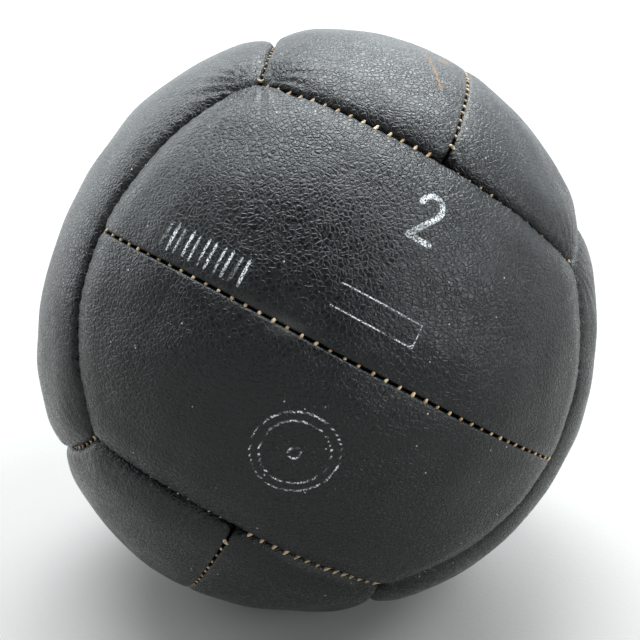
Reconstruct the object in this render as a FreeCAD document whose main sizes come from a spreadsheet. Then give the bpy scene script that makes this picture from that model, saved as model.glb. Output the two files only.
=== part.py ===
# A hand-sewn leather medicine ball of the 2 kg class, lying on the floor.
#
# Twelve equal leather panels, two to a face, cover the ball. Each panel is a shallow tray: its crown is the ball's
# surface, and its rim is turned in as a flange. Neighbouring flanges stand face to face and are sewn together with
# waxed thread. A cotton lining backs every panel, and one mass of packed hair fills the ball.
#
# One master of each kind of piece is drawn in the ball's own frame, on the upper half of the front face. That face
# looks along +Z, and its middle seam lies along X. Turning a master by the rotations that keep a tetrahedron makes
# the other pieces of its kind. The whole ball is turned to the attitude in which it lies, with the floor at Z = 0.

import FreeCAD, Part
import math
import os

# Driving dimensions: alias, value, meaning. Lengths are in millimetres and angles in degrees.
DIMENSIONS = (
    ("ball_radius", 125.0, "crown of the panels, from the ball's centre"),
    ("leather", 2.2, "thickness of the leather"),
    ("lining", 0.5, "thickness of the cotton lining"),
    ("seam_tilt", 8.5, "tilt of an edge seam's circle away from the face's axis"),
    ("seam_gap", 0.8, "gap between two flanges, bridged by the stitches"),
    ("flange_depth", 9.0, "crown to the end of a flange"),
    ("edge_roll", 3.2, "outer radius where the leather turns into a flange"),
    ("corner_round", 5.0, "outer radius of a panel's corners"),
    ("form_depth", 20.0, "crown to the underside of a cutting form, deeper than any flange"),
    ("thread_radius", 0.5, "waxed linen thread, where it runs behind a flange"),
    ("pulled_radius", 0.44, "the same thread, pulled tight through an awl hole"),
    ("thread_bed", 0.12, "clearance of the thread in its awl hole and on the lining"),
    ("stitch_depth", 4.0, "crown to the middle of a stitch"),
    ("stitch_angle", 2.4, "pitch of the stitches, seen from the ball's centre"),
    ("edge_start", 3.0, "T junction to the first stitch of an edge seam, seen from the ball's centre"),
    ("fill_bed", 1.4, "stuffing to the side of a lining, where the thread runs"),
    ("fill_gap", 0.15, "stuffing to the crown of a lining and to the end of a flange"),
    ("fill_round", 2.0, "corners of the stuffing under a panel"),
    ("fill_roll", 1.0, "edges of the stuffing under a panel"),
    ("sag", 1.2, "height lost where the ball's weight flattens it on the floor"),
    ("lie_roll", 30.0, "turn of the front face's middle seam, clockwise seen from the front"),
    ("lie_pitch", 14.0, "tip of the front face, upwards"),
    ("lie_yaw", 5.5, "turn of the front face, towards +X"),
)
MIDDLE_STITCHES = 21  # on each half of a face's middle seam, the first one half a pitch from its midpoint
EDGE_STITCHES = 14  # on each half of an edge seam, from its T junction to a corner of the face
REACH = 150.0  # size of a cutting block or cone, which clears the ball

# Expressions shared by several pieces.
SEAM_ANGLE = "acos((cos(Dims.seam_tilt) - sin(Dims.seam_tilt)) / sqrt(3))"  # half angle of an edge seam's cone
BACKED = "(Dims.leather + Dims.lining)"
FLANGE_FACE = "(Dims.seam_gap / 2 + Dims.leather + Dims.lining)"  # seam to the inner face of a lined flange
RAIL = f"({FLANGE_FACE} + Dims.thread_radius + Dims.thread_bed)"  # seam to the run of thread behind a flange
SEWN = "(Dims.ball_radius - Dims.stitch_depth)"
HEART = "(Dims.ball_radius - Dims.flange_depth)"
CENTRE = "placement(vector(0; 0; Dims.ball_radius - Dims.sag); rotation(0; 0; 0))"

# Directions of the six faces in the ball's own frame.
FACES = {
    "front": (0, 0, 1),
    "back": (0, 0, -1),
    "top": (0, 1, 0),
    "bottom": (0, -1, 0),
    "right": (1, 0, 0),
    "left": (-1, 0, 0),
}
# A face and the neighbour that each of its two panels lies next to.
NEIGHBOURS = {
    "front": ("top", "bottom"),
    "back": ("top", "bottom"),
    "top": ("right", "left"),
    "bottom": ("right", "left"),
    "right": ("front", "back"),
    "left": ("front", "back"),
}
HALVES = [(face, near) for face, pair in NEIGHBOURS.items() for near in pair]
RESTING = ("bottom", "right")  # the panel that the ball lies on
EIGHTHS = [(flip, quarter) for flip in (0, 180) for quarter in (0, 90, 180, 270)]

doc = FreeCAD.newDocument("medicine_ball")


def add_dimensions():
    sheet = doc.addObject("Spreadsheet::Sheet", "Dims")
    for row, (alias, value, meaning) in enumerate(DIMENSIONS, start=1):
        sheet.set(f"A{row}", alias)
        sheet.set(f"B{row}", str(value))
        sheet.set(f"C{row}", meaning)
        sheet.setAlias(f"B{row}", alias)
    doc.recompute()


def add(kind, name, **sizes):
    """An object with its sizes bound to expressions, or set where the value isn't text."""
    piece = doc.addObject(kind, name)
    for size, value in sizes.items():
        if isinstance(value, str):
            piece.setExpression(size, value)
        else:
            setattr(piece, size, value)
    return piece


def turn(axis, angle):
    """Expression for a turn about an axis through the ball's centre."""
    x, y, z = axis
    return f"placement(vector(0; 0; 0); rotation(vector({x}; {y}; {z}); {angle}))"


def shift(x, y, z):
    return f"placement(vector({x}; {y}; {z}); rotation(0; 0; 0))"


LYING = " * ".join(
    (
        CENTRE,
        turn((0, 0, 1), "Dims.lie_yaw"),
        turn((1, 0, 0), "-Dims.lie_pitch"),
        turn((0, 1, 0), "Dims.lie_roll"),
        turn((1, 0, 0), "90"),
    )
)
SEAM_AXIS = turn((1, 0, 0), "-90 - Dims.seam_tilt")  # Z to the axis of the seam between front and top


def carried(face, neighbour):
    """Expression for the rotation that carries the front face and its upper half to another half face."""
    toward = FreeCAD.Vector(*FACES[neighbour])
    outward = FreeCAD.Vector(*FACES[face])
    rotation = FreeCAD.Rotation(toward.cross(outward), toward, outward, "ZYX")
    angle = round(math.degrees(rotation.Angle))
    longest = max(abs(component) for component in rotation.Axis)
    axis = tuple(round(component / longest) for component in rotation.Axis)
    return turn(axis, angle)


def seam_cone(name, attitude, inset):
    """Cone through an edge seam, moved along its axis so that its wall stands off the seam by the inset."""
    return add(
        "Part::Cone",
        name,
        Radius1=0.0,
        Radius2=f"{REACH} * tan({SEAM_ANGLE})",
        Height=REACH,
        Placement=f"{attitude} * {shift(0, 0, f'({inset}) / sin({SEAM_ANGLE})')}",
    )


def fillet(body, base, name, radius, is_rounded):
    """Round the edges of the body's last feature that the test picks."""
    doc.recompute()
    edges = [f"Edge{i}" for i, edge in enumerate(base.Shape.Edges, start=1) if is_rounded(edge)]
    rounded = body.newObject("PartDesign::Fillet", name)
    rounded.Base = (base, edges)
    rounded.setExpression("Radius", radius)
    body.Tip = rounded
    return rounded


def add_form(name, side, crown, corner, roll):
    """Solid under one panel: its walls stand off the seams, and its top lies under the ball's surface."""
    outside = add("Part::Sphere", f"{name}_outside", Radius=f"Dims.ball_radius - {crown}", Placement=turn((0, 1, 0), 90))
    inside = add("Part::Sphere", f"{name}_inside", Radius="Dims.ball_radius - Dims.form_depth")
    shell = add("Part::Cut", f"{name}_shell", Base=outside, Tool=inside)
    half = add(
        "Part::Box",
        f"{name}_half",
        Length=2 * REACH,
        Width=REACH,
        Height=REACH,
        Placement=shift(-REACH, side, 0),
    )
    right = seam_cone(f"{name}_right", turn((0, 1, 0), "Dims.seam_tilt"), side)
    left = seam_cone(f"{name}_left", f"{turn((0, 0, 1), 180)} * {turn((0, 1, 0), 'Dims.seam_tilt')}", side)
    between = add("Part::MultiCommon", f"{name}_between", Shapes=[shell, half, right, left])
    top = seam_cone(f"{name}_top", SEAM_AXIS, f"-({side})")
    block = add("Part::Cut", f"{name}_block", Base=between, Tool=top)
    doc.recompute()

    def upright(edge):
        near, far = sorted(vertex.Point.Length for vertex in edge.Vertexes) if len(edge.Vertexes) == 2 else (0, 0)
        return far - near > 1.0

    def on_top(edge):
        return min(vertex.Point.Length for vertex in edge.Vertexes) > outside.Radius.Value - 0.01

    body = doc.addObject("PartDesign::Body", name)
    body.BaseFeature = block
    rounded = fillet(body, body.Tip, f"{name}_corners", corner, upright)
    fillet(body, rounded, f"{name}_edges", roll, on_top)
    doc.recompute()
    return body


def add_copy(name, source, attitude):
    """The same solid again, at another attitude."""
    return add("App::Link", name, LinkedObject=source, Placement=attitude)


def half_seam_angles(stitches, first):
    """Expressions for the stitches' angles from the middle of a seam, on both of its halves."""
    later = [f"({first} + {number} * Dims.stitch_angle)" for number in range(stitches)]
    return [f"-{angle}" for angle in later] + later


MIDDLE_ANGLES = half_seam_angles(MIDDLE_STITCHES, "Dims.stitch_angle / 2")
EDGE_ANGLES = half_seam_angles(EDGE_STITCHES, "Dims.edge_start")


def add_rods(name, radius, half_length, attitudes):
    """Straight rods across a seam. Each attitude puts one along its own X, at the depth of the stitches."""
    return [
        add(
            "Part::Cylinder",
            f"{name}_{number}",
            Radius=radius,
            Height=f"2 * {half_length}",
            Placement=f"{attitude} * {turn((0, 1, 0), 90)} * {shift(0, 0, f'-{half_length}')}",
        )
        for number, attitude in enumerate(attitudes)
    ]


def middle_attitudes():
    """Frames along a face's middle seam, with Z pointing out of the ball and X across the seam."""
    return [f"{turn((0, 1, 0), angle)} * {shift(0, 0, SEWN)} * {turn((0, 0, 1), 90)}" for angle in MIDDLE_ANGLES]


def edge_attitudes():
    """Frames along the seam between front and top, with Z pointing out of the ball and X across the seam."""
    return [
        f"{SEAM_AXIS} * {turn((0, 0, 1), f'{angle} / sin({SEAM_ANGLE}) - 90')}"
        f" * {turn((0, 1, 0), SEAM_ANGLE)} * {shift(0, 0, SEWN)}"
        for angle in EDGE_ANGLES
    ]


def add_awls():
    """Every awl hole in the rim of one panel: its middle seam, its outer edge and its two ends."""
    half_length = "(Dims.seam_gap / 2 + Dims.leather + Dims.lining + Dims.leather)"
    radius = "Dims.pulled_radius + Dims.thread_bed"
    middle = add_rods("middle_awl", radius, half_length, middle_attitudes())
    edge = add("Part::Compound", "edge_awls", Links=add_rods("edge_awl", radius, half_length, edge_attitudes()))
    right = add("Part::Compound", "right_awls", Links=[edge], Placement=carried("right", "front"))
    left = add("Part::Compound", "left_awls", Links=[edge], Placement=carried("left", "front"))
    return add("Part::Compound", "awls", Links=middle + [edge, right, left])


def add_tray(name, outer, inner, awls, heart):
    """Panel or lining: one form hollowed by the next, open towards the heart of the ball, with its awl holes."""
    hollowed = add("Part::Cut", f"{name}_hollowed", Base=outer, Tool=inner)
    trimmed = add("Part::Cut", f"{name}_trimmed", Base=hollowed, Tool=heart)
    return add("Part::Cut", name, Base=trimmed, Tool=awls)


def add_floor(name, height):
    """Everything below a level over the floor."""
    corner = (-REACH, -REACH, f"{height} - {REACH}")
    return add("Part::Box", name, Length=2 * REACH, Width=2 * REACH, Height=REACH, Placement=shift(*corner))


def add_run(name, axis, radius, offset, first, last):
    """Thread along a seam behind one flange, between two angles about the seam's axis."""
    return add(
        "Part::Torus",
        name,
        Radius1=radius,
        Radius2="Dims.thread_radius",
        Angle3=f"{last} - {first}",
        Placement=f"{axis} * {shift(0, 0, offset)} * {turn((0, 0, 1), f'{first} - 90')}",
    )


def add_middle_thread():
    """Two needles' thread in a middle seam: a rung through each pair of holes, and a run behind each flange."""
    rungs = add_rods("middle_rung", "Dims.pulled_radius", RAIL, middle_attitudes())
    axis = turn((1, 0, 0), -90)
    end = f"({MIDDLE_STITCHES} * Dims.stitch_angle - Dims.stitch_angle / 3)"
    upper = add_run("middle_upper_run", axis, SEWN, RAIL, f"-{end}", end)
    lower = add_run("middle_lower_run", axis, SEWN, f"-{RAIL}", f"-{end}", end)
    return add("Part::MultiFuse", "middle_thread", Shapes=rungs + [upper, lower])


def add_edge_thread():
    """The same in an edge seam, where the run beyond the flange breaks at the next face's middle seam."""
    rungs = add_rods("edge_rung", "Dims.pulled_radius", RAIL, edge_attitudes())
    start = f"((Dims.edge_start - Dims.stitch_angle / 6) / sin({SEAM_ANGLE}))"
    reach = f"Dims.edge_start + {EDGE_STITCHES - 1} * Dims.stitch_angle + Dims.stitch_angle / 6"
    end = f"(({reach}) / sin({SEAM_ANGLE}))"
    outer = f"{SEWN} * sin({SEAM_ANGLE}) + {RAIL} * cos({SEAM_ANGLE})"
    outer_offset = f"{SEWN} * cos({SEAM_ANGLE}) - {RAIL} * sin({SEAM_ANGLE})"
    inner = f"{SEWN} * sin({SEAM_ANGLE}) - {RAIL} * cos({SEAM_ANGLE})"
    inner_offset = f"{SEWN} * cos({SEAM_ANGLE}) + {RAIL} * sin({SEAM_ANGLE})"
    whole = add_run("edge_outer_run", SEAM_AXIS, outer, outer_offset, f"-{end}", end)
    right = add_run("edge_right_run", SEAM_AXIS, inner, inner_offset, start, end)
    left = add_run("edge_left_run", SEAM_AXIS, inner, inner_offset, f"-{end}", f"-{start}")
    return add("Part::MultiFuse", "edge_thread", Shapes=rungs + [whole, right, left])


def add_stuffing():
    """Packed hair: a core up to the flanges' ends, and a plug that fills the tray of each panel.

    The core is put together from eighths of a sphere, so that no face of it runs all the way round the ball.
    """
    plug = add_form(
        "plug",
        f"{FLANGE_FACE} + Dims.fill_bed",
        f"{BACKED} + Dims.fill_gap",
        "Dims.fill_round",
        "Dims.fill_roll",
    )
    core = [
        add(
            "Part::Sphere",
            f"core_{number}",
            Radius=f"{HEART} - Dims.fill_gap",
            Angle1=0.0,
            Angle2=90.0,
            Angle3=90.0,
            Placement=f"{turn((1, 0, 0), flip)} * {turn((0, 0, 1), quarter)}",
        )
        for number, (flip, quarter) in enumerate(EIGHTHS)
    ]
    plugs = [add_copy(f"plug_{face}_{near}", plug, carried(face, near)) for face, near in HALVES]
    return add("Part::MultiFuse", "whole_stuffing", Shapes=core + plugs, Placement=LYING)


def lay(name, form, attitude, floor):
    """A form at its own place in the ball, flattened at a level over the floor."""
    return add("Part::Cut", f"resting_{name}", Base=add_copy(f"lying_{name}", form, attitude), Tool=floor)


def add_covers():
    """Panels and linings of all twelve half faces, alike but for the flattened pair that the ball lies on."""
    outer = add_form("outer_form", "Dims.seam_gap / 2", "0", "Dims.corner_round", "Dims.edge_roll")
    middle = add_form(
        "leather_form",
        "Dims.seam_gap / 2 + Dims.leather",
        "Dims.leather",
        "Dims.corner_round - Dims.leather",
        "Dims.edge_roll - Dims.leather",
    )
    inner = add_form(
        "lining_form",
        FLANGE_FACE,
        BACKED,
        f"Dims.corner_round - {BACKED}",
        f"Dims.edge_roll - {BACKED}",
    )
    awls = add_awls()
    heart = add("Part::Sphere", "heart", Radius=HEART)
    panel = add_tray("panel", outer, middle, awls, heart)
    lining = add_tray("lining", middle, inner, awls, heart)

    place = f"{LYING} * {carried(*RESTING)}"
    flat_outer = lay("outer", outer, place, add_floor("floor", "0"))
    flat_middle = lay("middle", middle, place, add_floor("leather_floor", "Dims.leather"))
    flat_inner = lay("inner", inner, place, add_floor("lining_floor", BACKED))
    lying_awls = add_copy("lying_awls", awls, place)
    lying_heart = add_copy("lying_heart", heart, place)
    covers = {
        ("panel", *RESTING): add_tray("resting_panel", flat_outer, flat_middle, lying_awls, lying_heart),
        ("lining", *RESTING): add_tray("resting_lining", flat_middle, flat_inner, lying_awls, lying_heart),
    }
    for kind, master in (("panel", panel), ("lining", lining)):
        for half in HALVES:
            if half != RESTING:
                covers[kind, *half] = add_copy(f"{kind}_{'_'.join(half)}", master, f"{LYING} * {carried(*half)}")
    return {"_".join(key): cover for key, cover in covers.items()}


def add_threads():
    """A thread for the middle seam of each face, and one for each edge seam."""
    middle = add_middle_thread()
    edge = add_edge_thread()
    threads = {}
    for face, near in HALVES:
        name = f"thread_{face}_{near}"
        threads[name] = add_copy(name, edge, f"{LYING} * {carried(face, near)}")
    for face, (near, _) in NEIGHBOURS.items():
        name = f"thread_{face}_middle"
        threads[name] = add_copy(name, middle, f"{LYING} * {carried(face, near)}")
    return threads


def build():
    """Every sub-part, by the name of its node."""
    add_dimensions()
    pieces = add_covers()
    pieces.update(add_threads())
    floor = add_floor("stuffing_floor", f"{BACKED} + Dims.fill_gap")
    pieces["hair_stuffing"] = add("Part::Cut", "hair_stuffing", Base=add_stuffing(), Tool=floor)
    for name, piece in pieces.items():
        piece.Label = name
    doc.recompute()
    return pieces


def check(pieces):
    """Stop if any object failed, or if a sub-part isn't one valid solid."""
    for item in doc.Objects:
        if {"Invalid", "Error"} & set(item.State):
            raise RuntimeError(f"{item.Name} failed: {item.State}")
    for name, piece in pieces.items():
        shape = piece.Shape
        if shape.isNull() or not shape.isValid() or len(shape.Solids) != 1:
            raise RuntimeError(f"{name} isn't one valid solid")


def export(pieces):
    os.makedirs("parts", exist_ok=True)
    for name, piece in pieces.items():
        piece.Shape.exportStep(f"parts/{name}.step")
        print(f"{name}: {piece.Shape.Volume / 1000:.2f} cm3")


subparts = build()
check(subparts)
export(subparts)
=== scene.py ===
import itertools
import math

import bmesh
import bpy
import numpy as np
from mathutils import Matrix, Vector


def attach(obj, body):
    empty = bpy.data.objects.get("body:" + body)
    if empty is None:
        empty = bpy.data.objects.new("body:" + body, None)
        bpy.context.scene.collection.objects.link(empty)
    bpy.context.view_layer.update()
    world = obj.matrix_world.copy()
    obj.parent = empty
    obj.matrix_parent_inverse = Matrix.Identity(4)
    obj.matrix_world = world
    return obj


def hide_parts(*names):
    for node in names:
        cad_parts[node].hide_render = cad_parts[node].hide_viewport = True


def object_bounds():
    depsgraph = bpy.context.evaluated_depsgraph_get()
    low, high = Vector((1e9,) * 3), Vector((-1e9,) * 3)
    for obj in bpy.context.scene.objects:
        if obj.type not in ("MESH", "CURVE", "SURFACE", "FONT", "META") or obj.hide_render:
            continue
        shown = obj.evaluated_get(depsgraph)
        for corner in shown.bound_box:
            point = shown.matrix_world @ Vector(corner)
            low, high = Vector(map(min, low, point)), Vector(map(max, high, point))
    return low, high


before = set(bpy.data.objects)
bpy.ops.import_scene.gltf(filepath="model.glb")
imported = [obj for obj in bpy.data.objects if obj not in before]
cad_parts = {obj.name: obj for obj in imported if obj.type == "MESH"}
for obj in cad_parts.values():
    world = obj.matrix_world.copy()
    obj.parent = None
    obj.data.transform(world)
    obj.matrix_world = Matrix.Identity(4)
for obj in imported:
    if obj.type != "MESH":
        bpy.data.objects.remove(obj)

CAD_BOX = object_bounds()
MM = 0.001

# The ball's own frame, as in the CAD: the front face looks along +Z and its middle seam lies along X.
SEAM_TILT = math.radians(8.5)
SEAM_ANGLE = math.acos((math.cos(SEAM_TILT) - math.sin(SEAM_TILT)) / math.sqrt(3))
LIE_ROLL = math.radians(30.0)
LIE_PITCH = math.radians(14.0)
LIE_YAW = math.radians(5.5)
STITCH_ANGLE = math.radians(2.4)
EDGE_START = math.radians(3.0)
MIDDLE_STITCHES = 21
EDGE_STITCHES = 14
LEATHER = 2.2 * MM
LINING = 0.5 * MM
FLANGE_DEPTH = 9.0 * MM
HALF_GAP = 0.3 * MM

# The ball's radius and centre, from the CAD's box: the flattened patch takes the rest of the height.
RADIUS = (CAD_BOX[1][0] - CAD_BOX[0][0]) / 2
CENTRE = np.array([0.0, 0.0, CAD_BOX[1][2] - RADIUS])

FACES = {
    "front": (0, 0, 1),
    "back": (0, 0, -1),
    "top": (0, 1, 0),
    "bottom": (0, -1, 0),
    "right": (1, 0, 0),
    "left": (-1, 0, 0),
}
NEIGHBOURS = {
    "front": ("top", "bottom"),
    "back": ("top", "bottom"),
    "top": ("right", "left"),
    "bottom": ("right", "left"),
    "right": ("front", "back"),
    "left": ("front", "back"),
}
HALVES = [(face, near) for face, pair in NEIGHBOURS.items() for near in pair]


# ---------------------------------------------------------------- directions and frames


def unit(v):
    v = np.asarray(v, dtype=float)
    return v / np.linalg.norm(v, axis=-1, keepdims=True)


def turn_x(angle):
    c, s = math.cos(angle), math.sin(angle)
    return np.array([[1, 0, 0], [0, c, -s], [0, s, c]])


def turn_y(angle):
    c, s = math.cos(angle), math.sin(angle)
    return np.array([[c, 0, s], [0, 1, 0], [-s, 0, c]])


def turn_z(angle):
    c, s = math.cos(angle), math.sin(angle)
    return np.array([[c, -s, 0], [s, c, 0], [0, 0, 1]])


ATTITUDE = turn_z(LIE_YAW) @ turn_x(-LIE_PITCH) @ turn_y(LIE_ROLL) @ turn_x(math.pi / 2)


def carried(face, near):
    """Rotation that carries the front face's upper half to another half face."""
    outward = np.array(FACES[face], dtype=float)
    toward = np.array(FACES[near], dtype=float)
    return np.column_stack([np.cross(toward, outward), toward, outward])


TOP_AXIS = np.array([0.0, math.cos(SEAM_TILT), -math.sin(SEAM_TILT)])
TOP_EAST = np.array([1.0, 0.0, 0.0])
TOP_SOUTH = np.array([0.0, math.sin(SEAM_TILT), math.cos(SEAM_TILT)])
RIGHT_AXIS = np.array([-math.sin(SEAM_TILT), 0.0, math.cos(SEAM_TILT)])
LEFT_AXIS = np.array([math.sin(SEAM_TILT), 0.0, math.cos(SEAM_TILT)])
RIGHT_SOUTH = np.array([math.cos(SEAM_TILT), 0.0, math.sin(SEAM_TILT)])
LEFT_SOUTH = np.array([-math.cos(SEAM_TILT), 0.0, math.sin(SEAM_TILT)])
END_EAST = np.array([0.0, 1.0, 0.0])
# From a T junction to a corner, about a seam's axis.
CORNER_TURN = math.atan2(1.0, math.sin(SEAM_TILT) + math.cos(SEAM_TILT))
MIDDLE_HALF = SEAM_ANGLE - SEAM_TILT  # half of a middle seam


def middle_seam(t):
    """Direction along the middle seam, for t from -1 to 1."""
    angle = np.asarray(t) * MIDDLE_HALF
    return np.stack([np.sin(angle), np.zeros_like(angle), np.cos(angle)], axis=-1)


def outer_seam(t):
    """Direction along the seam between the front and top faces, for t from -1 to 1."""
    angle = np.asarray(t)[..., None] * CORNER_TURN
    across = np.cos(angle) * TOP_SOUTH + np.sin(angle) * TOP_EAST
    return math.cos(SEAM_ANGLE) * TOP_AXIS + math.sin(SEAM_ANGLE) * across


def end_seam(t, side):
    """Direction along the upper half of the seam at one end of the face, for t from 0 to 1."""
    angle = np.asarray(t)[..., None] * CORNER_TURN
    axis = RIGHT_AXIS if side > 0 else LEFT_AXIS
    out = RIGHT_SOUTH if side > 0 else LEFT_SOUTH
    across = np.cos(angle) * out + np.sin(angle) * END_EAST
    return math.cos(SEAM_ANGLE) * axis + math.sin(SEAM_ANGLE) * across


def seam_distances(p):
    """Distances in metres from the four seams of the front face's upper half, and inward normals.

    A distance is positive inside the panel.
    """
    seams = []
    seams.append((np.arcsin(np.clip(p[..., 1], -1, 1)), np.broadcast_to([0.0, 1.0, 0.0], p.shape)))
    for axis, inside in ((TOP_AXIS, 1), (RIGHT_AXIS, -1), (LEFT_AXIS, -1)):
        along = p @ axis
        away = unit(p * along[..., None] - axis)
        seams.append((inside * (np.arccos(np.clip(along, -1, 1)) - SEAM_ANGLE), inside * away))
    distances = np.stack([distance for distance, _ in seams], axis=-1) * RADIUS
    normals = np.stack([normal for _, normal in seams], axis=-2)
    return distances, normals


# ---------------------------------------------------------------- how the real ball departs from the even one

# Where the stuffing swells or sinks: angle round the front view from its right, height, and spread in
# degrees.
SWELLS = (
    (75, 3.2 * MM, 28),
    (155, -6.0 * MM, 30),
    (238, 3.6 * MM, 22),
    (290, 1.0 * MM, 25),
    (0, -2.6 * MM, 30),
)
SWELL_LIMB = math.radians(75)  # a swell's centre, from the front view's axis
VIEW_ELEVATION = math.radians(20)
VIEW_RIGHT = np.array([1.0, 0.0, 0.0])
VIEW_UP = np.array([0.0, math.sin(VIEW_ELEVATION), math.cos(VIEW_ELEVATION)])
VIEW_BACK = np.array([0.0, -math.cos(VIEW_ELEVATION), math.sin(VIEW_ELEVATION)])
# Where the sewing pulled a junction off the even layout: its direction, and how far it moved in the
# ball's frame.
PULLS = (
    (middle_seam(-1.0), (0.0, -3.0 * MM, 0.0)),
    (outer_seam(0.0) * (1, -1, 1), (-3.5 * MM, 3.0 * MM, 0.0)),
    ((-1, -1, 1), (8.0 * MM, -2.0 * MM, 6.0 * MM)),
    ((1, -1, 1), (-9.0 * MM, -3.0 * MM, 6.0 * MM)),
    ((1, 1, 1), (-3.0 * MM, 0.0, 4.0 * MM)),
)
PULL_SPREAD = math.radians(20)
CONTACT_SOFT = 0.5 * MM


def bump(directions, centre, spread):
    """1 at the centre direction, falling to 0 over the spread."""
    return np.exp((directions @ unit(centre) - 1.0) / (1.0 - math.cos(spread)))


def settled(points, depth):
    """Moves points of the even ball, in its own frame, to where they lie in the row frame.

    Depth is below the crown.
    """
    directions = unit(points)
    moved = points.copy()
    for centre, shift in PULLS:
        moved += bump(directions, centre, PULL_SPREAD)[:, None] * np.array(shift)
    radius = np.linalg.norm(points, axis=1)
    moved = unit(moved) @ ATTITUDE.T
    for angle, height, spread in SWELLS:
        angle = math.radians(angle)
        across = math.cos(angle) * VIEW_RIGHT + math.sin(angle) * VIEW_UP
        centre = math.sin(SWELL_LIMB) * across + math.cos(SWELL_LIMB) * VIEW_BACK
        radius = radius + height * bump(moved, centre, math.radians(spread))
    moved = moved * radius[:, None] + CENTRE
    floor = np.minimum(depth, LEATHER + LINING)
    over = moved[:, 2] - floor
    moved[:, 2] = floor + (over + np.sqrt(over**2 + CONTACT_SOFT**2)) / 2
    return moved


# ---------------------------------------------------------------- meshes


def new_mesh(name, points, faces):
    """A piece from its points in the row frame."""
    mesh = bpy.data.meshes.new(name)
    faces = np.asarray(faces, dtype=np.int32)
    mesh.vertices.add(len(points))
    mesh.vertices.foreach_set("co", np.asarray(points, dtype=np.float32).ravel())
    mesh.loops.add(faces.size)
    mesh.loops.foreach_set("vertex_index", faces.ravel())
    mesh.polygons.add(len(faces))
    mesh.polygons.foreach_set("loop_start", np.arange(0, faces.size, faces.shape[1], dtype=np.int32))
    mesh.polygons.foreach_set("use_smooth", np.ones(len(faces), dtype=bool))
    mesh.update()
    mesh.validate()
    piece = bpy.data.objects.new(name, mesh)
    bpy.context.scene.collection.objects.link(piece)
    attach(piece, "root")
    return piece


def add_attribute(piece, name, values):
    layer = piece.data.attributes.new(name, "FLOAT", "POINT")
    layer.data.foreach_set("value", np.asarray(values, dtype=np.float32))


GRID_GROWTH = 1.35  # from one gap of a grid to the next, going in from its rim


def graded(length, step, first):
    """Places from 0 to 1 along a length, close together at both ends and a step apart between."""
    near = [0.0]
    gap = first
    while gap < step:
        near.append(near[-1] + gap)
        gap *= GRID_GROWTH
    middle = np.linspace(near[-1], length - near[-1], int((length - 2 * near[-1]) / step) + 1)
    far = [length - place for place in reversed(near)]
    return np.concatenate([near[:-1], middle, far[1:]]) / length


def panel_directions(columns, rows):
    """Grid of directions that fills the front face's upper half.

    Columns run along it, and rows run from its middle seam out.
    """
    t = 2 * columns - 1
    low, high = middle_seam(t)[:, None], outer_seam(t)[:, None]
    left, right = end_seam(rows, -1)[None], end_seam(rows, 1)[None]
    u, v = columns[:, None, None], rows[None, :, None]
    corners = (1 - v) * ((1 - u) * low[0, 0] + u * low[-1, 0]) + v * ((1 - u) * high[0, 0] + u * high[-1, 0])
    return unit((1 - v) * low + v * high + (1 - u) * left + u * right - corners)


def drawn_in(directions, inset):
    """The same directions, moved in from the seams by the inset."""
    distances, normals = seam_distances(directions)
    share = np.clip(1 - distances / INSET_REACH, 0, 1) ** 2
    return unit(directions + (inset / RADIUS) * np.sum(share[..., None] * normals, axis=-2))


# ---------------------------------------------------------------- leather panels and their linings

# How far in from a seam a grid is drawn in to make room for the gap and the layers above.
INSET_REACH = 22 * MM
# Radius of the turned edge at each side of a panel: middle seam, outer seam, right end, left end.
ROLLS = np.array([1.0, 3.2, 3.2, 3.2]) * MM
DIPS = np.array([0.5, 2.8, 2.8, 2.8]) * MM  # how far the stuffed panel sinks towards each seam
DIP_REACH = np.array([9.0, 17.0, 17.0, 17.0]) * MM
CORNER_ROUND = 4.5 * MM
LEAST_ROLL = 0.3 * MM
CORNER_SLOPE = 6.0
FLANGE_ROWS = 4
LUMP_WAVES = 26
LUMP_HEIGHT = 0.16 * MM
LUMP_SPAN = (18 * MM, 42 * MM)
TIGHT_CORNER = (-1, 1, 1)
TIGHT_PUCKER = 0.75 * MM
LOOSE_PUCKER = 0.28 * MM
LOOSE_SHARE = (0.3, 1.0)
PUCKER_FOLDS = 19
PUCKER_TWIST = 5.0 * MM
PUCKER_REACH = 20.0 * MM
PUCKER_START = 5.0 * MM
SCALLOP = np.array([0.22, 0.5, 0.5, 0.5]) * MM  # how far each stitch pulls the edge down
SCALLOP_REACH = np.array([2.2, 4.0, 4.0, 4.0]) * MM
FAR_STROKE = 20.0 * MM  # the most that a distance from a stroke is taken to be
RING_STEPS = 41
ARCH_STEPS = 9
LINE_STEP = 0.2  # of the way from one corner of a line to the next
LUMP_SEED = 7
PUCKER_SEED = 23
GRID_LENGTH = 1.5 * MIDDLE_HALF * RADIUS
GRID_HEIGHT = 0.6 * RADIUS
RIM_FINER = 4
PANEL_STEP = 1.0 * MM
LINING_STEP = 3.0 * MM


def stitches_along(p):
    """Places along the four seams, counted in stitches."""
    along = [np.arctan2(p[..., 0], p[..., 2]) / STITCH_ANGLE + 0.5]
    start = EDGE_START / STITCH_ANGLE
    for south, east in ((TOP_SOUTH, TOP_EAST), (RIGHT_SOUTH, END_EAST), (LEFT_SOUTH, END_EAST)):
        turn = np.arctan2(p @ east, p @ south) * math.sin(SEAM_ANGLE)
        along.append(np.abs(turn) / STITCH_ANGLE - start)
    return np.stack(along, axis=-1)


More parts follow.
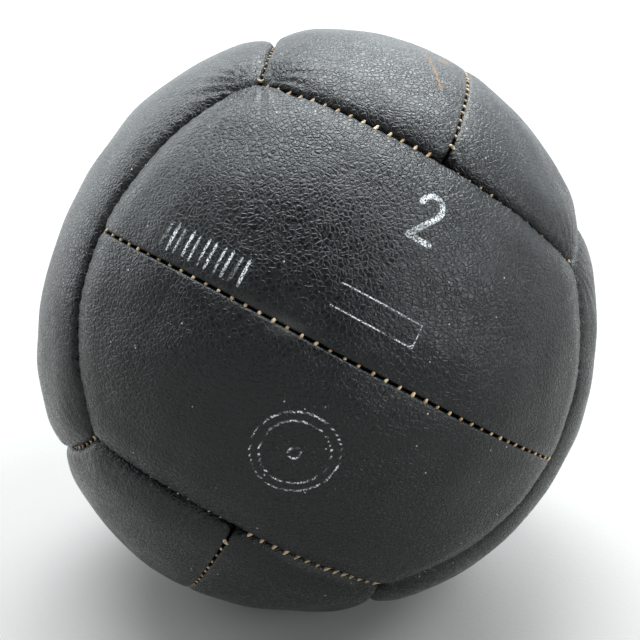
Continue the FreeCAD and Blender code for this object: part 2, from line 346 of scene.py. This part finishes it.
def layer_depth(directions, sunk):
    """Depth below the even crown of a surface that lies the given thickness under the leather's outside."""
    distances, _ = seam_distances(directions)
    dip = np.sum((DIPS * np.clip(1 - distances / DIP_REACH, 0, 1) ** 2) ** 3, axis=-1) ** (1 / 3)
    inside = distances - HALF_GAP - sunk
    corner = max(CORNER_ROUND - sunk, LEAST_ROLL)
    edge = corner - np.sqrt(np.sum(np.clip(corner - inside, 0, None) ** 2, axis=-1))
    weight = 1 / (np.clip(inside, 0, None) + MM) ** 2
    roll = np.sum(weight * np.clip(ROLLS - sunk, LEAST_ROLL, None), axis=-1) / np.sum(weight, axis=-1)
    turned = np.clip(roll - np.clip(edge, 0, None), 0, None)
    fall = roll - np.sqrt(roll**2 - turned**2) + CORNER_SLOPE * np.clip(-edge, 0, None)
    pulled = SCALLOP * (1 + np.cos(2 * math.pi * stitches_along(directions))) / 2
    pulled = np.sum(pulled * np.exp(-np.clip(inside, 0, None) / SCALLOP_REACH), axis=-1)
    return np.minimum(sunk + dip + fall + pulled, FLANGE_DEPTH - MM / 2)


def lumps(points):
    """Gentle unevenness of the stuffing under the leather."""
    rng = np.random.default_rng(LUMP_SEED)
    height = np.zeros(len(points))
    for _ in range(LUMP_WAVES):
        wave = unit(rng.normal(size=3)) * 2 * math.pi / rng.uniform(*LUMP_SPAN)
        height += np.sin(points @ wave + rng.uniform(0, 2 * math.pi))
    return LUMP_HEIGHT * height / math.sqrt(LUMP_WAVES / 2)


def puckers(directions):
    """Folds of leather gathered into each corner of the faces, deepest where the work was pulled tightest."""
    rng = np.random.default_rng(PUCKER_SEED)
    height = np.zeros(len(directions))
    for corner in itertools.product((-1, 1), repeat=3):
        axis = unit(np.array(corner, dtype=float))
        first = unit(np.cross(axis, (0.0, 0.0, 1.0)))
        second = np.cross(axis, first)
        away = np.hypot(directions @ first, directions @ second) * RADIUS
        around = np.arctan2(directions @ second, directions @ first)
        depth = TIGHT_PUCKER if corner == TIGHT_CORNER else rng.uniform(*LOOSE_SHARE) * LOOSE_PUCKER
        folds = np.sin(PUCKER_FOLDS * around + away / PUCKER_TWIST + rng.uniform(0, 2 * math.pi))
        reach = np.exp(-((away / PUCKER_REACH) ** 2)) * (1 - np.exp(-((away / PUCKER_START) ** 2)))
        height += np.where(directions @ axis > 0, depth * folds * reach, 0)
    return height


def stroke_distance(directions, stroke):
    """Distance in metres from each direction on the ball to a line drawn through directions."""
    nearest = np.full(len(directions), FAR_STROKE / RADIUS)
    for start, end in zip(stroke, stroke[1:]):
        along = end - start
        share = np.clip((directions - start) @ along / (along @ along), 0, 1)
        nearest = np.minimum(nearest, np.linalg.norm(directions - start - share[:, None] * along, axis=1))
    return nearest * RADIUS


def spaced(points):
    """Angles along a line, from its corners in degrees."""
    corners = np.radians(np.array(points, dtype=float))
    share = np.arange(0, len(corners) - 1 + LINE_STEP / 2, LINE_STEP)
    return [np.interp(share, np.arange(len(corners)), part) for part in corners.T]


def on_front(points):
    """Directions along a line on the front face, from degrees east and north of its middle."""
    east, north = spaced(points)
    return np.stack([np.sin(east) * np.cos(north), np.sin(north), np.cos(east) * np.cos(north)], axis=-1)


def on_top_face(points):
    """Directions along a line on the top face, from degrees to the right and to the front of its middle."""
    right, front = spaced(points)
    return unit(np.stack([np.tan(right), np.ones_like(right), np.tan(front)], axis=-1))


def box_line(east, north, width, height):
    right, top = east + width, north + height
    return [(east, north), (right, north), (right, top), (east, top), (east, north)]


def ring_line(east, north, radius):
    turns = np.linspace(0, 2 * math.pi, RING_STEPS)
    return [(east + radius * math.cos(turn), north + radius * math.sin(turn)) for turn in turns]


def numeral_line(east, north, width, height):
    """A plain 2: an arch over the top, a slope to the lower left, and a straight foot."""
    half = width / 2
    turns = np.linspace(math.pi, -math.pi / 6, ARCH_STEPS)
    foot, crown = north - height / 2, north + height / 2
    arch = [(east + half * math.cos(turn), crown - half + half * math.sin(turn)) for turn in turns]
    return arch + [(east - half, foot), (east + half, foot)]


# Worn paint on the front face: half width of the line, and the line in degrees east and north of the
# face's middle.
PAINT = [(1.0 * MM, numeral_line(0.5, 25.0, 4.0, 8.0))]
PAINT += [(0.6 * MM, [(east, 2.0), (east, 6.1)]) for east in np.arange(-35.4, -20.0, 1.5)]
PAINT += [(0.28 * MM, box_line(-7.1, 6.0, 14.0, 3.7))]
PAINT += [(0.38 * MM, ring_line(-0.2, -16.7, radius)) for radius in (7.1, 5.6, 1.0)]
# Scuffs through the finish on the top face: half width of the line, and the line in degrees to the right
# and to the front of the face's middle.
SCUFFS = [(0.5 * MM, [(-10, 24), (-6, 37)]), (1.1 * MM, [(-6, 22), (-5, 23)])]


def loop_of(columns, rows):
    """Grid indices round the rim, anticlockwise from outside."""
    grid = np.arange(columns * rows).reshape(columns, rows)
    return np.concatenate([grid[:-1, 0], grid[-1, :-1], grid[:0:-1, -1], grid[0, :0:-1]])


def add_marks(piece, name, directions, strokes):
    """How far each point lies outside the nearest of some strokes, in millimetres."""
    outside = np.full(len(directions), FAR_STROKE)
    for width, stroke in strokes:
        outside = np.minimum(outside, stroke_distance(directions, stroke) - width)
    add_attribute(piece, name, outside / MM)


def add_tray(name, half, step, layers, slot):
    """A panel or lining: an outer and an inner sheet, joined round the rim by the turned-in flange."""
    columns = graded(GRID_LENGTH, step, step / RIM_FINER)
    rows = graded(GRID_HEIGHT, step, step / RIM_FINER)
    even = panel_directions(columns, rows)
    shape = even.shape[:2]
    rim = loop_of(*shape)
    directions, depths, sheets, seams = [], [], [], []
    count = 0
    for sunk in layers:
        sheet = drawn_in(even, HALF_GAP + sunk)
        depth = layer_depth(sheet, sunk).ravel()
        near = np.min(seam_distances(sheet)[0], axis=-1).ravel() - sunk
        sheet = sheet.reshape(-1, 3)
        directions.append(sheet)
        depths.append(depth)
        seams.append(near)
        rings = [rim + count]
        count += len(sheet)
        for row in range(1, FLANGE_ROWS + 1):
            share = row / FLANGE_ROWS
            directions.append(sheet[rim])
            depths.append(depth[rim] * (1 - share) + FLANGE_DEPTH * share)
            seams.append(np.zeros(len(rim)))
            rings.append(np.arange(count, count + len(rim)))
            count += len(rim)
        sheets.append(rings)
    directions, depths = np.concatenate(directions), np.concatenate(depths)
    points = directions * (RADIUS - depths)[:, None] @ carried(*half).T
    even_directions = unit(points)
    points += even_directions * (lumps(points) + puckers(even_directions))[:, None]

    faces = []
    second = len(rim) * FLANGE_ROWS + shape[0] * shape[1]
    for rings, start, outward in zip(sheets, (0, second), (True, False)):
        grid = np.arange(shape[0] * shape[1]).reshape(shape) + start
        sheet = np.stack([grid[:-1, :-1], grid[1:, :-1], grid[1:, 1:], grid[:-1, 1:]], axis=-1).reshape(-1, 4)
        walls = [
            np.stack([upper, lower, np.roll(lower, -1), np.roll(upper, -1)], axis=-1)
            for upper, lower in zip(rings, rings[1:])
        ]
        both = np.concatenate([sheet] + walls)
        faces.append(both if outward else both[:, ::-1])
    outer, inner = sheets[0][-1], sheets[1][-1]
    faces.append(np.stack([outer, inner, np.roll(inner, -1), np.roll(outer, -1)], axis=-1))
    piece = new_mesh(name, settled(points, depths), np.concatenate(faces))
    add_attribute(piece, "seam_mm", np.concatenate(seams) / MM)
    if slot == "leather":
        paint = [(width, on_front(line)) for width, line in PAINT if half[0] == "front"]
        scuffs = [(width, on_top_face(line)) for width, line in SCUFFS if half[0] == "top"]
        add_marks(piece, "paint_mm", even_directions, paint)
        add_marks(piece, "scuff_mm", even_directions, scuffs)
    return piece


# ---------------------------------------------------------------- sewing thread

THREAD_RADIUS = 0.6 * MM
RUN_RADIUS = 0.5 * MM
RUN_DEPTH = 4.0 * MM
RUN_OFFSET = HALF_GAP + LEATHER + LINING + RUN_RADIUS
RUNG_STEPS = 22
RUNG_SIDES = 10
STRAND_TURNS = 2.2  # twist of the two strands along one stitch
STRAND_GROOVE = 0.16
THREAD_SEED = 11
THREAD_OVERRUN = STITCH_ANGLE / 6
SLANT = 0.9 * MM


def tube(path, radius, sides, lobes=0.0, turns=0.0):
    """Closed tube along a path, with the two strands' twist showing where lobes is over 0."""
    path = np.asarray(path)
    along = unit(np.gradient(path, axis=0))
    side = unit(np.cross(along, unit(path)))
    up = np.cross(side, along)
    angle = np.linspace(0, 2 * math.pi, sides, endpoint=False)
    share = np.linspace(0, 1, len(path))[:, None]
    reach = radius * (1 - lobes + lobes * np.abs(np.cos(angle + math.pi * turns * share)))
    rings = path[:, None] + reach[..., None] * (
        np.cos(angle)[None, :, None] * side[:, None] + np.sin(angle)[None, :, None] * up[:, None]
    )
    points = np.concatenate([rings.reshape(-1, 3), path[:1], path[-1:]])
    grid = np.arange(len(path) * sides).reshape(len(path), sides)
    after = np.roll(grid, -1, axis=1)
    walls = np.stack([grid[:-1], after[:-1], after[1:], grid[1:]], axis=-1).reshape(-1, 4)
    first, last = len(points) - 2, len(points) - 1
    near = np.stack([np.full(sides, first), after[0], grid[0]], axis=-1)
    far = np.stack([np.full(sides, last), grid[-1], after[-1]], axis=-1)
    return points, walls, np.concatenate([near, far])


def middle_frame(angle):
    """Direction, along and across vectors at an angle from the middle of a middle seam."""
    return (
        np.array([math.sin(angle), 0.0, math.cos(angle)]),
        np.array([math.cos(angle), 0.0, -math.sin(angle)]),
        np.array([0.0, 1.0, 0.0]),
    )


def outer_frame(angle):
    """The same at an angle from the T junction of the seam between front and top."""
    turn = angle / math.sin(SEAM_ANGLE)
    spoke = math.cos(turn) * TOP_SOUTH + math.sin(turn) * TOP_EAST
    direction = math.cos(SEAM_ANGLE) * TOP_AXIS + math.sin(SEAM_ANGLE) * spoke
    across = math.sin(SEAM_ANGLE) * TOP_AXIS - math.cos(SEAM_ANGLE) * spoke
    return direction, math.cos(turn) * TOP_EAST - math.sin(turn) * TOP_SOUTH, across


def stitch_path(frame_at, angle, depth, slant):
    """One stitch: up from behind one flange, over the gap and down behind the other."""
    direction, along, across = frame_at(angle)
    share = np.linspace(-1, 1, RUNG_STEPS)
    out = RUN_OFFSET * share
    sink = depth + (RUN_DEPTH - depth) * np.abs(share) ** 1.3
    return direction * (RADIUS - sink)[:, None] + across * out[:, None] + along * (slant * share)[:, None]


def run_path(frame_at, first, last, side):
    """The thread behind one flange, between two angles along the seam."""
    steps = max(int((last - first) / STITCH_ANGLE * 3), 6)
    path = []
    for angle in np.linspace(first, last, steps):
        direction, _, across = frame_at(angle)
        path.append(direction * (RADIUS - RUN_DEPTH) + across * side * RUN_OFFSET)
    return np.array(path)


def add_thread(name, half, frame_at, angles, depth, runs, rng):
    """All the stitches of one seam, with the runs of thread behind its flanges."""
    points, quads, ends, tones = [], [], [], []
    count = 0
    tubes = []
    for angle, depth in zip(angles, np.broadcast_to(depth, len(angles))):
        angle += rng.normal(0, 0.02) * STITCH_ANGLE
        path = stitch_path(frame_at, angle, depth + rng.normal(0, 0.12) * MM, SLANT * rng.normal(1, 0.25))
        radius = THREAD_RADIUS * rng.normal(1, 0.06)
        tubes.append((tube(path, radius, RUNG_SIDES, STRAND_GROOVE, STRAND_TURNS), rng.uniform()))
    for first, last, side in runs:
        tubes.append((tube(run_path(frame_at, first, last, side), RUN_RADIUS, 8), 0.5))
    for (tube_points, walls, caps), tone in tubes:
        points.append(tube_points)
        quads.append(walls + count)
        ends.append(caps + count)
        tones.append(np.full(len(tube_points), tone))
        count += len(tube_points)
    points = np.concatenate(points) @ carried(*half).T
    quads, ends = np.concatenate(quads), np.concatenate(ends)
    faces = np.concatenate([quads[:, [0, 1, 2]], quads[:, [0, 2, 3]], ends])
    depths = RADIUS - np.linalg.norm(points, axis=1)
    piece = new_mesh(name, settled(points, depths), faces)
    add_attribute(piece, "tone", np.concatenate(tones))
    return piece


MIDDLE_ANGLES = [STITCH_ANGLE * (number + 0.5) for number in range(-MIDDLE_STITCHES, MIDDLE_STITCHES)]
EDGE_LATER = [EDGE_START + STITCH_ANGLE * number for number in range(EDGE_STITCHES)]
EDGE_ANGLES = [-angle for angle in reversed(EDGE_LATER)] + EDGE_LATER
MIDDLE_DEPTH = 1.3 * MM
EDGE_DEPTH = 5.4 * MM  # out of sight between the flanges
# How much nearer the crown they lie along half of a seam: where one gapes, and where the ball was sewn
# shut by hand.
LOOSE = {("front", "top"): 0.8 * MM, ("front", "bottom"): 1.5 * MM}


# ---------------------------------------------------------------- materials


class Nodes:
    """Shorthand for building one material's node tree."""

    def __init__(self, name):
        self.material = bpy.data.materials.new(name)
        self.material.use_nodes = True
        self.tree = self.material.node_tree
        self.tree.nodes.clear()
        self.output = self.tree.nodes.new("ShaderNodeOutputMaterial")
        self.shader = self.tree.nodes.new("ShaderNodeBsdfPrincipled")
        self.link(self.shader.outputs[0], self.output.inputs["Surface"])
        self.place = self.node("TexCoord").outputs["Object"]

    def node(self, kind, inputs=None, **settings):
        made = self.tree.nodes.new(f"ShaderNode{kind}")
        for key, value in settings.items():
            setattr(made, key, value)
        for key, value in (inputs or {}).items():
            self.set(made.inputs[key], value)
        return made

    def link(self, source, target):
        self.tree.links.new(source, target)

    def set(self, socket, value):
        if isinstance(value, bpy.types.NodeSocket):
            self.link(value, socket)
        else:
            socket.default_value = value

    def shade(self, **inputs):
        for key, value in inputs.items():
            self.set(self.shader.inputs[key.replace("_", " ")], value)

    def maths(self, operation, first, second=0.0, third=None):
        made = self.node("Math", {0: first, 1: second}, operation=operation)
        if third is not None:
            self.set(made.inputs[2], third)
        return made.outputs[0]

    def noise(self, scale, detail=3.0, roughness=0.55, distortion=0.0, place=None):
        inputs = {"Vector": place or self.place, "Scale": scale, "Detail": detail, "Roughness": roughness}
        return self.node("TexNoise", {**inputs, "Distortion": distortion}).outputs["Fac"]

    def ramp(self, value, low, high, to_low=0.0, to_high=1.0):
        inputs = {"Value": value, "From Min": low, "From Max": high, "To Min": to_low, "To Max": to_high}
        return self.node("MapRange", inputs, interpolation_type="SMOOTHSTEP").outputs[0]

    def mix(self, factor, first, second):
        made = self.node("Mix", data_type="RGBA")
        self.set(made.inputs[0], factor)
        self.set(made.inputs[6], first)
        self.set(made.inputs[7], second)
        return made.outputs[2]

    def attribute(self, name):
        return self.node("Attribute", attribute_name=name).outputs["Fac"]

    def cells(self, place, scale):
        """How far each point is from the edge of its cell."""
        inputs = {"Vector": place, "Scale": scale}
        return self.node("TexVoronoi", inputs, feature="DISTANCE_TO_EDGE").outputs["Distance"]

    def bent(self, scale, amount):
        """Coordinates pushed about by noise, so that cells and creases aren't even."""
        push = self.node("TexNoise", {"Vector": self.place, "Scale": scale, "Detail": 2.0}).outputs["Color"]
        shifted = self.node("VectorMath", {0: push, 1: (-0.5, -0.5, -0.5)}, operation="ADD").outputs[0]
        scaled = self.node("VectorMath", {0: shifted, "Scale": amount}, operation="SCALE").outputs[0]
        return self.node("VectorMath", {0: self.place, 1: scaled}, operation="ADD").outputs[0]

    def bump(self, layers):
        """Chain of bumps: each layer is a height value and its height in metres."""
        normal = None
        for height, distance in layers:
            made = self.node("Bump", {"Strength": 1.0, "Distance": distance, "Height": height})
            if normal is not None:
                self.link(normal, made.inputs["Normal"])
            normal = made.outputs["Normal"]
        self.shade(Normal=normal)


def grey(value, tint=(1.0, 1.0, 1.0)):
    return tuple(value * part for part in tint) + (1.0,)


def leather_material():
    """Black grained leather: pebbles parted by creases, glossed, dusty, marked, and lighter along the seams,
    partly from rubbed wear and partly from a painted highlight on the rolled edges.
    """
    n = Nodes("black_leather")
    bent = n.bent(110.0, 0.004)
    pebbles = n.ramp(n.cells(bent, 560.0), 0.0, 0.22)
    fine = n.cells(bent, 1250.0)
    pores = n.noise(2600.0, 2.0)
    folds = n.noise(210.0, 4.0, 0.62, 1.6)
    rubbed = n.noise(28.0, 4.0, 0.6)
    coarse = n.ramp(n.noise(15.0, 2.0), 0.38, 0.62, 0.5, 1.0)
    seam = n.attribute("seam_mm")
    edge = n.ramp(seam, 0.5, 5.0, 1.0, 0.0)

    speck = n.node("TexVoronoi", {"Vector": n.place, "Scale": 300.0})
    dot = n.ramp(speck.outputs["Distance"], 0.05, 0.12, 1.0, 0.0)
    rare = n.ramp(n.node("SeparateColor", {0: speck.outputs["Color"]}).outputs[0], 0.86, 0.92)
    dust = n.maths("MULTIPLY", dot, rare)
    flakes = n.ramp(n.noise(2100.0, 2.0, 0.6), 0.45, 0.53)
    patches = n.ramp(n.noise(160.0, 2.0), 0.38, 0.52, 0.45, 1.0)
    line = n.ramp(n.attribute("paint_mm"), -0.15, 0.15, 1.0, 0.0)
    paint = n.maths("MULTIPLY", line, n.maths("MULTIPLY", flakes, patches))
    ragged = n.maths("ADD", n.attribute("scuff_mm"), n.ramp(n.noise(600.0, 3.0), 0.3, 0.7, -0.5, 0.6))
    scuff = n.ramp(ragged, -0.1, 0.15, 1.0, 0.0)

    base = n.mix(rubbed, grey(0.0015, (0.9, 1.0, 1.12)), grey(0.0045, (0.94, 1.0, 1.06)))
    # Lighter, warmer colour in patches on the rolled edges and flanges along the seams. It is partly rubbed
    # wear and partly a painted highlight on the rolled edges.
    wear_and_highlight = n.mix(n.maths("MULTIPLY", edge, n.ramp(rubbed, 0.45, 0.7)), base, grey(0.03, (1.0, 0.97, 0.92)))
    dusty = n.mix(n.maths("MULTIPLY", dust, 0.8), wear_and_highlight, grey(0.45, (1.0, 0.98, 0.94)))
    painted = n.mix(paint, dusty, grey(0.55, (0.97, 1.0, 1.02)))
    n.shade(Base_Color=n.mix(scuff, painted, (0.15, 0.085, 0.04, 1.0)))
    gloss = n.ramp(rubbed, 0.3, 0.7, 0.19, 0.28)
    dull = n.maths("MULTIPLY", n.maths("SUBTRACT", 1.0, pebbles), 0.14)
    matt = n.maths("MULTIPLY", n.maths("MAXIMUM", paint, scuff), 0.35)
    n.shade(Roughness=n.maths("ADD", gloss, n.maths("ADD", dull, matt)))
    n.shade(IOR=1.33)
    layers = [
        (folds, 0.24 * MM),
        (n.maths("MULTIPLY", pebbles, coarse), 0.19 * MM),
        (n.ramp(fine, 0.0, 0.25), 0.04 * MM),
        (pores, 0.015 * MM),
    ]
    n.bump(layers)
    return n.material


def thread_material():
    """Waxed linen thread, tan and grimy, each stitch of its own tone."""
    n = Nodes("waxed_thread")
    tone = n.attribute("tone")
    fibre = n.noise(3200.0, 2.0)
    stain = n.noise(500.0, 3.0)
    colour = n.mix(tone, (0.24, 0.14, 0.065, 1.0), (0.46, 0.35, 0.22, 1.0))
    n.shade(Base_Color=n.mix(n.ramp(stain, 0.5, 0.75), colour, (0.06, 0.035, 0.02, 1.0)))
    n.shade(Roughness=n.ramp(fibre, 0.3, 0.7, 0.45, 0.7))
    n.bump([(fibre, 0.0001)])
    return n.material


def cotton_material():
    """Unbleached plain-woven cotton."""
    n = Nodes("cotton_lining")
    warp = n.node("TexWave", {"Vector": n.place, "Scale": 420.0, "Distortion": 0.6}, bands_direction="X")
    weft = n.node("TexWave", {"Vector": n.place, "Scale": 420.0, "Distortion": 0.6}, bands_direction="Z")
    weave = n.maths("MULTIPLY", warp.outputs["Fac"], weft.outputs["Fac"])
    stain = n.noise(40.0, 4.0)
    cloth = n.mix(weave, (0.36, 0.31, 0.22, 1.0), (0.60, 0.54, 0.42, 1.0))
    n.shade(Base_Color=n.mix(n.ramp(stain, 0.5, 0.8), cloth, (0.28, 0.20, 0.12, 1.0)))
    n.shade(Roughness=n.ramp(stain, 0.2, 0.8, 0.75, 0.95))
    n.bump([(weave, 0.0002)])
    return n.material


def hair_material():
    """Dark packed hair in tufts."""
    n = Nodes("packed_hair")
    strands = n.noise(700.0, 5.0, 0.7, 2.5)
    tufts = n.noise(60.0, 3.0)
    hair = n.mix(strands, (0.035, 0.024, 0.016, 1.0), (0.16, 0.11, 0.07, 1.0))
    n.shade(Base_Color=n.mix(n.ramp(tufts, 0.4, 0.7), hair, (0.22, 0.19, 0.15, 1.0)))
    n.shade(Roughness=n.ramp(strands, 0.2, 0.8, 0.6, 0.9))
    n.bump([(tufts, 0.003), (strands, 0.0008)])
    return n.material


def floor_material():
    """Plain, slightly uneven studio floor: mid grey, which shows as pale under the studio's strong light."""
    n = Nodes("pale_floor")
    cloud = n.noise(3.0, 3.0)
    n.shade(Base_Color=n.mix(cloud, (0.25, 0.24, 0.23, 1.0), (0.27, 0.26, 0.25, 1.0)))
    n.shade(Roughness=n.ramp(cloud, 0.2, 0.8, 0.75, 0.85))
    n.bump([(n.noise(400.0), 0.0001)])
    return n.material


LEATHER_LOOK = leather_material()
THREAD_LOOK = thread_material()
COTTON_LOOK = cotton_material()
HAIR_LOOK = hair_material()
FLOOR_LOOK = floor_material()


# ---------------------------------------------------------------- the ball


def add_covers():
    for half in HALVES:
        label = "_".join(half)
        panel = add_tray(f"leather_{label}", half, PANEL_STEP, (0.0, LEATHER), "leather")
        panel.data.materials.append(LEATHER_LOOK)
        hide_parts(f"panel_{label}")
        lining = add_tray(f"cotton_{label}", half, LINING_STEP, (LEATHER, LEATHER + LINING), "lining")
        lining.data.materials.append(COTTON_LOOK)
        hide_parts(f"lining_{label}")


def add_threads():
    rng = np.random.default_rng(THREAD_SEED)
    middle_end = MIDDLE_ANGLES[-1] + THREAD_OVERRUN
    edge_near, edge_end = EDGE_START - THREAD_OVERRUN, EDGE_ANGLES[-1] + THREAD_OVERRUN
    middle_runs = [(-middle_end, middle_end, 1), (-middle_end, middle_end, -1)]
    edge_runs = [(-edge_end, edge_end, -1), (edge_near, edge_end, 1), (-edge_end, -edge_near, 1)]
    threads = []
    for face, near in HALVES:
        name = f"{face}_{near}"
        depths = EDGE_DEPTH - LOOSE.get((face, near), 0.0) * (np.array(EDGE_ANGLES) < 0)
        piece = add_thread(f"sewing_{name}", (face, near), outer_frame, EDGE_ANGLES, depths, edge_runs, rng)
        threads.append((piece, f"thread_{name}"))
    for face, (near, _) in NEIGHBOURS.items():
        name = f"{face}_middle"
        piece = add_thread(
            f"sewing_{name}", (face, near), middle_frame, MIDDLE_ANGLES, MIDDLE_DEPTH, middle_runs, rng
        )
        threads.append((piece, f"thread_{name}"))
    for piece, node in threads:
        piece.data.materials.append(THREAD_LOOK)
        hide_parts(node)


STUFFING_DEPTH = 12.5 * MM
STUFFING_LUMP = 1.6 / 3 * MM  # the stuffing's own lumps are higher than those that show in the leather
LUMP_CLOSER = 1.4  # and this much closer together
STUFFING_FINENESS = 6


def add_stuffing():
    """The mass of hair inside the flanges, lumpy where the handfuls were pushed in."""
    work = bmesh.new()
    bmesh.ops.create_icosphere(work, subdivisions=STUFFING_FINENESS, radius=1.0)
    points = np.array([vertex.co[:] for vertex in work.verts])
    faces = np.array([[vertex.index for vertex in face.verts] for face in work.faces])
    work.free()
    points = points * (RADIUS - STUFFING_DEPTH)
    points += unit(points) * (STUFFING_LUMP / LUMP_HEIGHT) * lumps(points * LUMP_CLOSER)[:, None]
    piece = new_mesh("hair_core", settled(points, np.full(len(points), STUFFING_DEPTH)), faces)
    piece.data.materials.append(HAIR_LOOK)
    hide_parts("hair_stuffing")


add_covers()
add_threads()
add_stuffing()


# ---------------------------------------------------------------- floor, light and camera

VIEW_DISTANCE = 3.19 * RADIUS
VIEW_LENS = 48.9
VIEW_AIM = CENTRE + 1.3 * MM * VIEW_RIGHT + 0.9 * MM * VIEW_UP
WALL_BRIGHT = 1.4
WALL_DIM = 0.1
# The studio's dim side: direction, and the angles from it where it ends and where it is darkest.
DIM_SIDE = ((6, 24), 85, 30)
# Only the upper part of the walls is dim: direction, and the angles as above.
UPPER_WALL = ((0, 90), 85, 68)
# Soft boxes: direction, angles from it where the box ends and is at full strength, and strength.
SOFT_BOXES = (
    ((-140, 78), 23, 9, 18.0),
    ((155, 50), 20, 8, 14.0),
    ((76, 52), 17, 6, 16.0),
    ((58, 24), 16, 5, 14.0),
    ((-120, 20), 26, 6, 3.5),
    ((-148, 38), 26, 6, 2.5),
)
FLOOR_HALF = 40.0
FLOOR_TILES = 40


def add_floor():
    """Wide pale floor."""
    mesh = bpy.data.meshes.new("studio_floor")
    places = np.linspace(-FLOOR_HALF, FLOOR_HALF, FLOOR_TILES + 1)
    x, y = np.meshgrid(places, places, indexing="ij")
    points = np.stack([x, y, np.zeros_like(x)], axis=-1).reshape(-1, 3)
    grid = np.arange(len(points)).reshape(x.shape)
    faces = np.stack([grid[:-1, :-1], grid[1:, :-1], grid[1:, 1:], grid[:-1, 1:]], axis=-1).reshape(-1, 4)
    mesh.from_pydata(points.tolist(), [], faces.tolist())
    mesh.materials.append(FLOOR_LOOK)
    floor = bpy.data.objects.new("studio_floor", mesh)
    bpy.context.scene.collection.objects.link(floor)


def aim(thing, place, target):
    thing.location = place
    thing.rotation_euler = (Vector(target) - Vector(place)).to_track_quat("-Z", "Y").to_euler()


def toward(azimuth, elevation):
    """Direction from the ball: azimuth from the front towards the right, and elevation, in degrees."""
    azimuth, elevation = math.radians(azimuth), math.radians(elevation)
    level = math.cos(elevation)
    return (math.sin(azimuth) * level, -math.cos(azimuth) * level, math.sin(elevation))


def add_world():
    """Studio of pale walls, dim in front of the ball, with soft boxes hung round it."""
    world = bpy.data.worlds.new("studio")
    world.use_nodes = True
    nodes, links = world.node_tree.nodes, world.node_tree.links
    place = nodes.new("ShaderNodeTexCoord").outputs["Generated"]

    def patch(direction, edge, core, outside, inside):
        facing = nodes.new("ShaderNodeVectorMath")
        facing.operation = "DOT_PRODUCT"
        facing.inputs[1].default_value = toward(*direction)
        links.new(place, facing.inputs[0])
        made = nodes.new("ShaderNodeMapRange")
        made.interpolation_type = "SMOOTHSTEP"
        limits = (math.cos(math.radians(edge)), math.cos(math.radians(core)), outside, inside)
        for key, value in zip(("From Min", "From Max", "To Min", "To Max"), limits):
            made.inputs[key].default_value = value
        links.new(facing.outputs["Value"], made.inputs["Value"])
        return made.outputs[0]

    def maths(operation, first, second):
        made = nodes.new("ShaderNodeMath")
        made.operation = operation
        made.inputs[0].default_value = WALL_BRIGHT
        if first is not None:
            links.new(first, made.inputs[0])
        links.new(second, made.inputs[1])
        return made.outputs[0]

    dimmed = maths("MULTIPLY", patch(*DIM_SIDE, 0.0, WALL_BRIGHT - WALL_DIM), patch(*UPPER_WALL, 0.0, 1.0))
    total = maths("SUBTRACT", None, dimmed)
    for direction, edge, core, radiance in SOFT_BOXES:
        total = maths("ADD", total, patch(direction, edge, core, 0.0, radiance))
    links.new(total, nodes["Background"].inputs["Strength"])
    nodes["Background"].inputs["Color"].default_value = (0.91, 0.97, 1.0, 1.0)
    bpy.context.scene.world = world


def add_camera():
    camera = bpy.data.objects.new("camera", bpy.data.cameras.new("camera"))
    camera.data.lens = VIEW_LENS
    camera.data.clip_start = 0.01
    bpy.context.scene.collection.objects.link(camera)
    aim(camera, VIEW_AIM + VIEW_DISTANCE * VIEW_BACK, VIEW_AIM)
    bpy.context.scene.camera = camera


add_floor()
add_world()
add_camera()
bpy.context.scene.view_settings.view_transform = "Standard"
